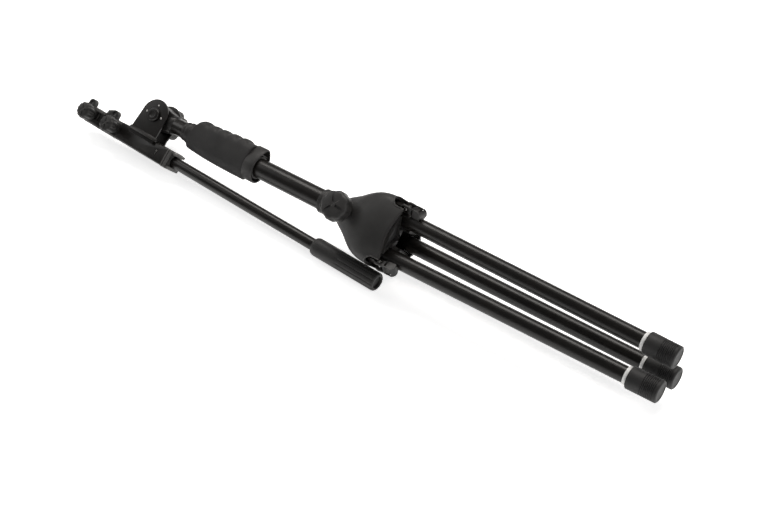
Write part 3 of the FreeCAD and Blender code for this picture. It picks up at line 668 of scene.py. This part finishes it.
def palm_loop(x):
    """A half round that holds the clutch sleeve from below."""
    low = belly(x) * min(1.0, (x - GRIP_LEFT) / 3.0 + 0.88, (GRIP_RIGHT - x) / 2.0 + 0.92)
    side = 13.4
    outer = [(x, PALM_TOP, side)]
    for number in range(25):
        angle = math.radians(180 * number / 24)
        outer.append((x, low * math.sin(angle), side * math.cos(angle)))
    outer.append((x, PALM_TOP, -side))
    edge = math.acos(PALM_TOP / SLEEVE)
    inner = []
    for number in range(19):
        angle = edge + (FULL - 2 * edge) * number / 18
        inner.append((x, SLEEVE * math.cos(angle), -SLEEVE * math.sin(angle)))
    return outer + inner


def lever_loop(x):
    """The ridged top of the grip with skirts that reach down over the palm's side."""
    half = grip_half(x)
    top = ridge_height(x) - max(0.0, x - GRIP_RIGHT + 2.0) * 0.6
    low = belly(x) - 1.2
    wall = 1.2

    def side(v, inset):
        return half * math.sqrt(1 - (min(v, 0.0) / low) ** 2) - inset

    heights = [SKIRT_EDGE + (SKIRT_TOP - SKIRT_EDGE) * n / 8 for n in range(9)]
    outer = [(x, v, -side(v, 0)) for v in heights[:-1]]
    for number in range(33):
        angle = math.radians(-90 + 180 * number / 32)
        lift = abs(math.cos(angle)) ** 0.62
        outer.append((x, SKIRT_TOP + (top - SKIRT_TOP) * lift,
                      half * math.copysign(abs(math.sin(angle)) ** 0.9, angle)))
    outer += [(x, v, side(v, 0)) for v in reversed(heights[:-1])]
    floor = min(15.4 + 4.0 * grip_share(x), top - 0.6)
    inner = [(x, v, side(v, wall)) for v in heights] + [(x, floor, 9.0), (x, floor, -9.0)]
    inner += [(x, v, -side(v, wall)) for v in reversed(heights)]
    return outer + inner


def leaned(loop):
    """The grip's left end leans, its top drawn in toward the ridges."""
    x = loop[0][0]
    fade = max(0.0, 1.0 - (x - GRIP_LEFT) / 35.0)
    return [(x + END_LEAN * fade * (v - SKIRT_EDGE), v, c) for _, v, c in loop]


def build_grip():
    steps = 110
    places = [GRIP_LEFT + (GRIP_RIGHT - GRIP_LEFT) * n / steps for n in range(steps + 1)]
    finish_piece("palm_pad", skin([palm_loop(x) for x in places]), STAND, RUBBER, "mast",
                 ["palm_grip"], sharp=SMOOTH)
    finish_piece("lever_pad", skin([leaned(lever_loop(x)) for x in places]), STAND, RUBBER,
                 "clutch_lever", ["lever_grip"], sharp=SMOOTH)


def build_mast():
    tube("lower_mast", STAND, -362.0, -44.0, 12.7, 11.1, COAT, "mast", ["mast_tube"])
    tube("mast_stop", STAND, -56.5, -49.0, 15.0, 12.7, COAT, "mast", ["mast_stop_ring"])
    tube("upper_mast", STAND, -395.0, -110.0, 11.0, 9.6, COAT, "inner_mast", ["inner_mast_tube"])
    build_grip()
    build_collar()
    rim = [(-367.5, 12.5), (-367.5, 13.0), (-366.9, 13.6), (-364.6, 13.6), (-363.6, 12.9),
           (-362.0, 12.9), (-362.0, 12.5), (-367.5, 12.5)]
    lathe("clutch_rim", STAND, rim, PLASTIC, "mast", ["clutch_top_ring"], soft=0.35)
    bush = [(-374.0, 11.05), (-374.0, 11.7), (-373.3, 12.4), (-370.6, 12.4), (-370.0, 11.8),
            (-368.4, 11.8), (-367.8, 12.35), (-362.3, 12.35), (-362.3, 11.05), (-374.0, 11.05)]
    lathe("clutch_bush_ring", STAND, bush, PLASTIC, "clutch_bush", ["clutch_bush"], soft=0.3)


def build_collar():
    """The clutch housing's open collar, its inner sleeve and the lever's plate and pin."""
    left, right = -262.4, -246.0

    def loop(x, grow):
        return egg(x, 16.2 + grow, -20.2 - grow, 25.2 + grow, 1.55)

    loops = [loop(left, -2.0), loop(left, -0.4), loop(left + 0.5, 0.0), loop(right - 4.2, 0.1),
             loop(right - 0.8, 0.0), loop(right - 0.2, -0.35), loop(right, -0.9), loop(right, -1.5),
             loop(right - 0.5, -1.9), loop(left, -2.0)]
    band = skin(loops[:-1], ring=True)
    finish_piece("clutch_collar", band, STAND, PLASTIC, "mast", ["clutch_housing"],
                 sharp=math.radians(45))
    web = [(-257.0, 12.75), (-257.0, 14.9), (-248.0, 14.9), (-247.0, 14.2), (-247.0, 12.75),
           (-257.0, 12.75)]
    lathe("collar_sleeve", STAND, web, PLASTIC, "mast")
    tube("clutch_sleeve", STAND, -361.0, -257.0, 12.98, 12.75, PLASTIC, "mast")
    floor = prism([(-261.5, 15.0), (-249.0, 15.0), (-249.0, 16.2), (-261.5, 16.2)], -9.0, 9.0)
    finish_piece("collar_floor", floor, STAND, PLASTIC, "mast", bevel=0.3)
    plate = [(-350.0, 15.4), (-338.0, 15.4), (-263.5, 19.0), (-263.5, 21.0), (-338.0, 17.6),
             (-350.0, 17.6)]
    finish_piece("lever_blade", prism(plate, -11.5, 11.5), STAND, PLASTIC, "clutch_lever",
                 ["lever_plate"], bevel=0.3)
    # A little right of and below the CAD pin, and thinner, so that the rubber covers it.
    pin = axis_up_c(STAND, -349.4, 16.9)
    lathe("lever_hinge_pin", pin, [(-6.0, 0), (-6.0, 1.1), (6.0, 1.1), (6.0, 0)], STEEL, "mast",
          ["lever_pin"], soft=0.4, count=24)


def build_head():
    outline = arc((TILT_X, 0), 17.0, 72, 288, 36)
    outline += [(-409.0, -14.3), (-401.0, -12.4), (-396.5, -11.9), (-394.8, -10.6), (-394.8, 10.6),
                (-396.5, 11.9), (-401.0, 12.4), (-409.0, 14.3)]
    finish_piece("head_casting", prism(outline, -10.0, 10.0), STAND, CAST, "inner_mast", ["mast_head"],
                 bevel=1.4, steps=4)
    socket = [(-404.0, 0), (-404.0, 11.0), (-398.5, 12.2), (-395.2, 12.2), (-392.8, 11.6),
              (-392.4, 11.05), (-391.0, 11.05), (-391.0, 0)]
    lathe("head_socket", STAND, socket, CAST, "inner_mast", soft=0.6)
    fin = [(-400.5, 9.6), (-399.4, 12.6), (-392.6, 12.0), (-391.6, 9.6)]
    finish_piece("head_fin", prism(fin, -1.4, 1.4), STAND, CAST, "inner_mast", bevel=0.5, steps=3)
    washer = [(9.6, 4.1), (13.1, 4.1), (13.1, 12.2), (9.6, 12.6), (9.6, 4.1)]
    for side, axis in (("far", axis_down_c), ("near", axis_up_c)):
        lathe(f"tilt_washer_{side}", axis(STAND, TILT_X), washer, CAST, "inner_mast", soft=0.3)


# Boom -----------------------------------------------------------------------------------------

BLOCK_HALF = 13.0
BLOCK_BOTTOM = -12.0
BLOCK_TOP = 11.7
CLAMP_HALF = 12.0
CLAMP_BOTTOM = -12.4
CLAMP_TOP = 10.6
ROD_HOLE = 7.62
EAR_RADIUS = 21.0
LUG_SIDE = 8.0


def rounded_box(x, half_c, bottom, top, corner, steps=5):
    """A box section across the boom with rounded corners."""
    near, far = half_c - corner, corner - half_c
    high, low = top - corner, bottom + corner
    points = []
    for c, v, start in ((near, high, 0), (far, high, 90), (far, low, 180), (near, low, 270)):
        for step in range(steps + 1):
            angle = math.radians(start + 90 * step / steps)
            points.append((x, v + corner * math.sin(angle), c + corner * math.cos(angle)))
    return points


def block_section(s, grow, corner):
    return rounded_box(s, BLOCK_HALF + grow, BLOCK_BOTTOM - grow, BLOCK_TOP + grow, corner)


def build_block():
    sections = [(-42.0, -2.2), (-42.0, -0.5), (-41.4, 0.0), (44.2, 0.0), (44.7, -0.5), (44.7, -2.2)]
    outer = [block_section(s, grow, 2.4 + grow) if grow > -2
             else rounded_box(s, 11.0, -10.0, 9.7, 1.0) for s, grow in sections]
    block = skin(outer, ring=True)
    slit = box_mesh((29.8, 31.0), (-4.6, 4.6), (12.2, 14.0))
    seam = box_mesh((-30.0, 36.0), (-12.3, -11.6), (-0.4, 0.4))
    block = carved(block, [slit, seam])
    finish_piece("block_shell", block, BOOM, COAT, "boom_block", ["boom_block_box"], sharp=CRISP)
    glint = box_mesh((29.5, 29.9), (-3.9, 3.9), (12.85, 13.12))
    finish_piece("block_crimp", glint, BOOM, STEEL, "boom_block", bevel=0.08)

    # Each ear: which, from and to across the boom, and how far its foot reaches along it.
    for label, low, high, right in (("near", 13.2, 15.8, 20.4), ("far", -15.8, -13.2, 15.0)):
        outline = arc((0.0, BOOM_OFFSET), EAR_RADIUS, -2, 182, 40)
        outline += [(-23.8, 17.0), (-24.4, 11.4), (-24.0, 6.0), (right - 0.4, 6.0), (right + 0.2, 11.4),
                    (right, 17.0)]
        finish_piece(f"ear_plate_{label}", prism(outline, low, high), BOOM, COAT, "boom_block",
                     [f"ear_{label}"], bevel=0.55, steps=3)
    slope = [(10.4, 15.6), (11.0, 17.5), (15.4, 15.7)]
    flange = skin([[(s - lean * (v - slope[0][0]), v, c) for v, c in slope]
                   for s, lean in ((-26.0, -0.2), (25.0, 0.5))])
    finish_piece("ear_flange", flange, BOOM, COAT, "boom_block", bevel=0.3)

    bolt = axis_up_c(BOOM, 0.0, BOOM_OFFSET)
    head = [(-33.0, 0), (-33.0, 3.95), (15.8, 3.95), (15.8, 9.0), (17.6, 9.0), (19.2, 7.9), (19.55, 6.6),
            (19.55, 4.4), (18.9, 3.9), (18.9, 0)]
    lathe("tilt_bolt_head", bolt, head, COAT, "boom_block", ["tilt_bolt"], soft=0.5)
    for number, (x, v) in enumerate(((-13.0, 0.0), (0.0, 13.0), (13.0, 0.0)), start=1):
        rivet = [(13.4, 0), (13.4, 1.4), (16.0, 1.4), (16.6, 1.1), (16.9, 0.6), (16.9, 0)]
        lathe(f"rivet_{number}", axis_up_c(BOOM, x, BOOM_OFFSET + v), rivet, STEEL, "boom_block",
              [f"ear_rivet_{number}"], soft=0.3, count=24)

    cap = []
    for s, grow in ((44.6, -2.0), (44.6, -0.2), (45.0, 0.35), (47.2, 0.4), (47.5, -0.25), (48.1, -0.25),
                    (48.4, 0.4), (51.8, 0.3), (52.6, -0.6), (52.6, -3.6), (44.8, -3.6)):
        cap.append(block_section(s, grow, 2.2) if grow > -3
                   else rounded_box(s, 8.0, -7.9, 7.9, 7.5))
    finish_piece("end_cap", skin(cap, ring=True), BOOM, GREY, "boom_block", ["block_end_cap"],
                 sharp=CRISP)
    mouth = [(51.0, 11.5), (55.8, 11.5), (56.7, 11.1), (57.0, 10.3), (57.0, 8.0), (53.4, 8.0), (53.4, -8.0),
             (57.0, -8.0), (57.0, -10.6), (56.6, -11.4), (55.8, -11.8), (51.0, -11.8)]
    hollow = skin([circle(50.0, ROD_HOLE, 40), circle(62.0, ROD_HOLE, 40)])
    finish_piece("cap_mouth", carved(prism(mouth, -11.6, 11.6), [hollow]), BOOM, GREY, "boom_block",
                 sharp=CRISP)
    build_clamp("rod_clamp", -74.3, -42.0, ROD_KNOB_S, -62.0, 20.5, "boom_block",
                "rod_clamp_body", heel=7.0)


def build_clamp(name, left, right, knob_s, lug_s, lug_top, body, node, heel=0.0, pocket=False):
    """A cast collar with a screw boss, a lug with a hole, and eased edges."""
    outer = [rounded_box(s, CLAMP_HALF + grow, CLAMP_BOTTOM - grow, CLAMP_TOP + grow, 4.0) for s, grow in
             ((left, -1.4), (left + 0.5, -0.4), (left + 1.6, 0.0), (right - 1.6, 0.0), (right - 0.5, -0.4),
              (right, -1.4))]
    casting = skin(outer)
    hole = skin([circle(left - 1, ROD_HOLE, 40), circle(right + 1, ROD_HOLE, 40)])
    cutters = [hole, box_mesh((left - 1, right + 1), (-14.0, -6.0), (-0.8, 0.8))]
    if pocket:
        cutters.append(box_mesh((-89.0, -80.0), (-4.5, 6.5), (9.6, 13.0)))
    finish_piece(f"{name}_casting", carved(casting, cutters), BOOM, CAST, body, [node],
                 sharp=CRISP)
    if pocket:
        ridge = box_mesh((-85.6, -84.2), (-4.5, 6.5), (9.2, 11.2))
        finish_piece(f"{name}_ridge", ridge, BOOM, CAST, body, bevel=0.3)
    lug = [(lug_s - heel - 5.2, 8.5), (lug_s - heel - 4.6, lug_top - 3.0 - 0.2 * heel),
           *arc((lug_s, lug_top - 5.0), 5.0, 110, 0, 12), (lug_s + 5.2, 8.5)]
    eye = skin([[(lug_s + x, lug_top - 5.0 + v, c) for x, v in arc((0, 0), 2.6, 0, 360, 24)[:-1]]
                for c in (LUG_SIDE - 6.0, LUG_SIDE + 6.0)])
    finish_piece(f"{name}_lug", carved(prism(lug, LUG_SIDE - 4.0, LUG_SIDE + 4.0), [eye]), BOOM, CAST,
                 body, bevel=0.3, sharp=CRISP)
    boss = [(8.0, 3.3), (8.0, 8.6), (13.0, 8.6), (14.2, 8.0), (17.4, 7.7), (17.4, 3.3), (8.0, 3.3)]
    lathe(f"{name}_boss", axis_up_c(BOOM, knob_s), boss, CAST, body, soft=0.5)
    for place in (left + 4.5, right - 4.5):
        rib = skin([rounded_box(place + half, 12.3, -12.6, 10.9, 4.2) for half in (-0.8, 0.8)],
                   start_cap=False, end_cap=False)
        bmesh.ops.solidify(rib, geom=rib.faces[:], thickness=0.5)
        side = "left" if place < (left + right) / 2 else "right"
        finish_piece(f"{name}_rib_{side}", rib, BOOM, CAST, body)


def build_rods():
    tube("outer_rod", BOOM, -90.0, 392.0, 7.5, 6.4, COAT, "boom_rod", ["boom_rod_tube"], soft=0.3)
    tube("inner_rod", BOOM, -107.3, 190.0, 6.3, 5.0, COAT, "inner_rod", ["inner_rod_tube"], soft=0.3)
    crests = 11
    left, right = -118.4, -107.3
    pitch = (right - left) / (crests + 1)
    thread = [(left, 0), (left, 6.9)]
    for number in range(crests):
        thread.append((left + pitch * (number + 0.6), 7.9))
        thread.append((left + pitch * (number + 1.1), 7.3))
    thread += [(right, 7.9), (right, 0)]
    lathe("thread", BOOM, thread, STEEL, "inner_rod", ["mic_thread"], soft=0.12, count=64)
    build_clamp("tip_clamp", -107.0, -75.3, TIP_KNOB_S, -105.5, 18.8, "boom_rod", "tip_clamp_body",
                pocket=True)
    build_counterweight()


def build_counterweight():
    """A sleeve, plain at its shoulder and fluted to its end."""
    left, right = 298.0, 395.8
    flutes_from = left + 38.0
    count = 192
    stations = [(left, 7.6), (left, 9.2), (left + 0.8, 10.4), (left + 2.2, 11.1), (left + 4.5, 11.4)]
    stations += [(left + 4.5 + (right - 3.0 - left - 4.5) * n / 60, 11.5) for n in range(1, 61)]
    stations += [(right - 2.0, 11.3), (right - 0.9, 10.7), (right - 0.2, 9.9), (right, 9.2), (right, 8.2),
                 (right - 0.6, 7.6), (right - 3.5, 7.4), (right - 3.5, 0.02)]
    loops = []
    for s, radius in stations:
        depth = 0.75 * max(0.0, min(1.0, (s - flutes_from) / 3.0))
        if radius < 8.3:
            depth = 0.0
        loop = []
        for n in range(count):
            angle = FULL * n / count
            groove = max(0.0, math.cos(12 * angle)) ** 3
            reach = radius - depth * groove
            loop.append((s, reach * math.cos(angle), reach * math.sin(angle)))
        loops.append(loop)
    finish_piece("counterweight_sleeve", skin(loops, start_cap=False), BOOM, WEIGHT, "boom_rod",
                 ["counterweight"], sharp=SMOOTH)


# Legs -----------------------------------------------------------------------------------------


def build_leg(number):
    body = f"leg_{number}"
    matrix = leg_tube_matrix(number)
    tube(f"{body}_pipe", matrix, -30.0, 300.0, 9.5, 8.1, COAT, body, [f"{body}_tube"], soft=0.5)
    ring = [(286.9, 9.5), (286.9, 10.6), (287.3, 10.9), (291.2, 10.9), (291.2, 9.5), (286.9, 9.5)]
    lathe(f"{body}_white_ring", matrix, ring, WHITE, body, [f"{body}_ring"], soft=0.25)

    start, end, radius = 291.0, 326.9, 12.95
    foot = [(start, 9.5), (start, radius - 0.8), (start + 0.8, radius), (start + 17.0, radius)]
    pitch = 1.95
    for rib in range(8):
        here = start + 17.4 + pitch * rib
        foot += [(here, radius - 0.85), (here + 0.75, radius - 0.85), (here + 0.95, radius),
                 (here + pitch - 0.2, radius)]
    foot += [(end - 1.2, radius - 0.1), (end - 0.3, radius - 1.2), (end, radius - 2.6),
             (end, radius - 3.4), (end - 0.5, radius - 4.2), (end - 0.4, 0)]
    lathe(f"{body}_foot_cap", matrix, foot, FOOT_RUBBER, body, [f"{body}_foot"], soft=0.18, count=96)
    build_bracket(number)


def build_bracket(number):
    """The clip on the leg: two webs round the hinge pin and a hollow bow behind them.

    A near-black block and near-black sheets paint the shade inside its hollows.
    """
    body = f"leg_{number}"
    matrix = leg_matrix(number)
    outline = [(-31.3, 33.0), (-31.5, 41.5), *arc((-26.4, 42.0), 4.6, 172, 80, 6), (-17.9, 46.0),
               (-16.4, 44.9), (-12.0, 45.8), *arc((-9.4, 39.8), 6.4, 80, 0, 10), (-3.0, 33.0)]
    shell = prism(outline, -7.0, 7.0)
    rims = [edge for edge in shell.edges
            if abs(edge.verts[0].co.z - edge.verts[1].co.z) < 1e-6
            and (edge.verts[0].co.y + edge.verts[1].co.y) / 2 > 34]
    bmesh.ops.bevel(shell, geom=rims, offset=0.9, segments=3, profile=0.5, affect="EDGES",
                    clamp_overlap=True)
    room = box_mesh((-46.0, -17.5), (20.0, 55.0), (-4.4, 4.4))
    tube_room = skin([[(x, LEG_AXIS + v, c) for _, v, c in circle(0, 9.3, 48)] for x in (-45.0, 5.0)])
    flanks = skin([[(x, 20.0, -12.0), (x, 41.4, -12.0), (x, 34.2, 0.0), (x, 41.4, 12.0), (x, 20.0, 12.0)]
                   for x in (-45.0, 5.0)])
    bow_top = box_mesh((-14.4, -6.2), (40.0, 55.0), (-5.2, 5.2))
    cutters = [room, tube_room, flanks, bow_top]
    for low, high in ((-8.0, -5.4), (5.4, 8.0)):
        cutters.append(box_mesh((-29.8, -19.2), (30.0, 44.4), (low, high)))
        window = [(-16.0, 30.0), (-16.0, 44.4), (-10.6, 44.9), *arc((-9.4, 39.8), 5.0, 80, 0, 6),
                  (-4.4, 30.0)]
        cutters.append(prism(window, math.copysign(2.0, low), math.copysign(8.0, low)))
    finish_piece(f"{body}_clip", carved(shell, cutters), matrix, CLIP_PLASTIC, body, [f"{body}_bracket"],
                 sharp=math.radians(38))
    # A near-black block in the window hollow: painted shade where the clip's inside would be in shadow.
    painted_shade_block = prism([(-15.6, 35.0), (-15.6, 45.1), (-9.0, 45.1), (-5.2, 41.4), (-4.6, 35.0)], -5.0, 5.0)
    finish_piece(f"{body}_filling", painted_shade_block, matrix, COAT, body)
    # Near-black sheets on the pocket floors: painted shade.
    for side, low, high in (("near", 5.3, 5.6), ("far", -5.6, -5.3)):
        painted_shade_sheet = prism([(-29.6, 38.2), (-29.6, 44.2), (-19.4, 44.2), (-19.4, 38.2)], low, high)
        finish_piece(f"{body}_lining_{side}", painted_shade_sheet, matrix, COAT, body)


# Floor, light and camera ----------------------------------------------------------------------


def build_stage():
    low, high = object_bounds()
    middle = (Vector(low) + Vector(high)) / 2
    side = 30.0
    mesh = bpy.data.meshes.new("floor")
    mesh.from_pydata([(-side, -side, 0), (side, -side, 0), (side, side, 0), (-side, side, 0)], [],
                     [(0, 1, 2, 3)])
    floor = bpy.data.objects.new("floor", mesh)
    floor.location.z = cad_box[0][2] - 0.0002
    bpy.context.scene.collection.objects.link(floor)
    paper = bpy.data.materials.new("paper")
    paper.use_nodes = True
    surface = paper.node_tree.nodes["Principled BSDF"]
    surface.inputs["Base Color"].default_value = (0.95, 0.95, 0.95, 1)
    surface.inputs["Roughness"].default_value = 0.9
    surface.inputs["Specular IOR Level"].default_value = 0.1
    surface.inputs["Emission Color"].default_value = (1, 1, 1, 1)
    surface.inputs["Emission Strength"].default_value = 0.72
    mesh.materials.append(paper)

    world = bpy.data.worlds.new("studio")
    bpy.context.scene.world = world
    world.use_nodes = True
    sky = world.node_tree.nodes["Background"]
    sky.inputs["Color"].default_value = (1, 1, 1, 1)
    sky.inputs["Strength"].default_value = 0.12
    # Name, place from the stand's middle, width, height, power and colour.
    softboxes = (
        ("overhead", (-0.35, 1.05, 2.0), 3.0, 0.8, 52.0, (1.0, 0.965, 0.93)),
        ("left", (-2.4, -0.5, 1.6), 1.2, 1.2, 13.0, (1.0, 0.99, 0.98)),
        ("right", (2.4, -0.6, 1.7), 1.2, 1.2, 13.0, (1.0, 1.0, 1.0)),
    )
    for name, place, width, height, power, colour in softboxes:
        light = bpy.data.lights.new(name, "AREA")
        light.shape = "RECTANGLE"
        light.size = width
        light.size_y = height
        light.energy = power
        light.color = colour
        lamp = bpy.data.objects.new(name, light)
        lamp.location = middle + Vector(place)
        lamp.rotation_euler = (-Vector(place)).to_track_quat("-Z", "Y").to_euler()
        bpy.context.scene.collection.objects.link(lamp)
    bpy.context.scene.view_settings.view_transform = "Standard"


def build_camera():
    """Looks down on the stand from its knob side, a little past its feet."""
    turn = math.radians(38.63)
    elevation = math.radians(40.29)
    distance, aside, below = 1.4888, 0.04443, 0.00561
    right = Vector((math.cos(turn), math.sin(turn), 0))
    back = Vector((math.sin(turn) * math.cos(elevation), -math.cos(turn) * math.cos(elevation),
                   math.sin(elevation)))
    up = back.cross(right)
    place = mast_origin - aside * right - below * up + distance * back
    camera = bpy.data.cameras.new("camera")
    camera.sensor_width = 36.0
    camera.lens = 61.58
    camera.clip_start = 0.05
    rig = bpy.data.objects.new("camera", camera)
    rig.matrix_world = Matrix((
        (right.x, up.x, back.x, place.x), (right.y, up.y, back.y, place.y),
        (right.z, up.z, back.z, place.z), (0, 0, 0, 1)))
    bpy.context.scene.collection.objects.link(rig)
    bpy.context.scene.camera = rig


build_hub()
build_knobs()
build_mast()
build_head()
build_block()
build_rods()
for leg_number in range(1, 4):
    build_leg(leg_number)
build_stage()
build_camera()
